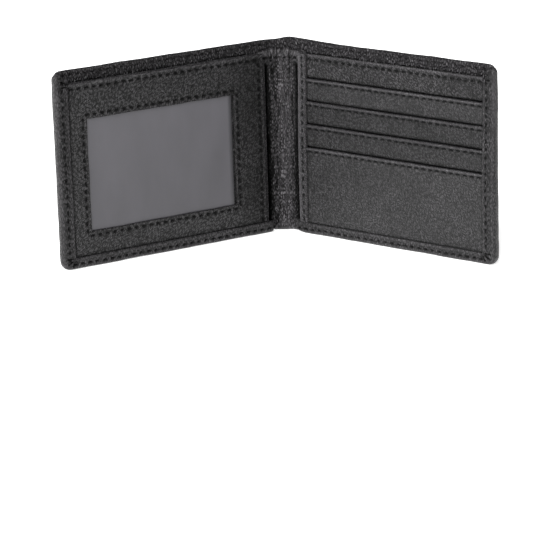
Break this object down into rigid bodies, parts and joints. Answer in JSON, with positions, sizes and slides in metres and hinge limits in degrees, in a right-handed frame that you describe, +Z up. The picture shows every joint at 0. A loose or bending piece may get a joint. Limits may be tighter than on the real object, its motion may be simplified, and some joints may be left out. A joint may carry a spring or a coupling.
{
  "type": "bifold wallet",
  "caption": "Leather bifold wallet standing open, with a bill compartment, an identity window and stepped card pockets.",
  "frame": {"origin": "middle of the footprint, on the surface that the open wallet stands on", "axes": "+Z up along the fold, +X from the window leaf to the card leaf, the leaves open towards -Y"},
  "size_m": [0.1954, 0.0648, 0.09],
  "materials": {
    "cover_leather": "fine grained, soft sheen",
    "inside_leather": "pebbled, soft sheen",
    "thread": "waxed sewing thread",
    "lining_cloth": "plain weave",
    "stiffener_board": "bonded leather board",
    "backing_card": "flat grey",
    "window_film": "frosted clear film"
  },
  "bodies": {
    "spine": {"bill_divider_spine": "inside_leather", "bill_lining_spine": "lining_cloth", "cover_seam_spine": "thread", "cover_spine": "cover_leather", "top_seam_spine": "thread"},
    "left_leaf": {"bill_divider_left": "inside_leather", "bill_lining_left": "lining_cloth", "cover_left": "cover_leather", "cover_seam_left": "thread", "slip_pocket": "inside_leather", "stiffener_left": "stiffener_board", "top_seam_left": "thread", "window_backing": "backing_card", "window_frame": "inside_leather", "window_frame_edge_seam": "thread", "window_pane": "window_film", "window_seam": "thread"},
    "right_leaf": {"bill_divider_right": "inside_leather", "bill_lining_right": "lining_cloth", "card_pocket_1": "inside_leather", "card_pocket_2": "inside_leather", "card_pocket_3": "inside_leather", "card_pocket_4": "inside_leather", "cover_right": "cover_leather", "cover_seam_right": "thread", "pocket_base": "inside_leather", "pocket_binding": "inside_leather", "pocket_binding_seam": "thread", "pocket_seam_1": "thread", "pocket_seam_2": "thread", "pocket_seam_3": "thread", "pocket_seam_4": "thread", "pocket_tongue_1": "lining_cloth", "pocket_tongue_2": "lining_cloth", "pocket_tongue_3": "lining_cloth", "stiffener_right": "stiffener_board", "top_seam_right": "thread"}
  },
  "joints": [
    {"name": "left_fold", "type": "hinge", "parent": "spine", "child": "left_leaf", "pos_m": [-0.0047, 0.03203, 0.045], "axis": [0, 0, 1], "range_deg": [-33.3, 56.7]},
    {"name": "right_fold", "type": "hinge", "parent": "spine", "child": "right_leaf", "pos_m": [0.0047, 0.03203, 0.045], "axis": [0, 0, -1], "range_deg": [-33.3, 56.7]}
  ],
  "couplings": [
    {"joint": "right_fold", "follows": "left_fold", "ratio": 1}
  ]
}
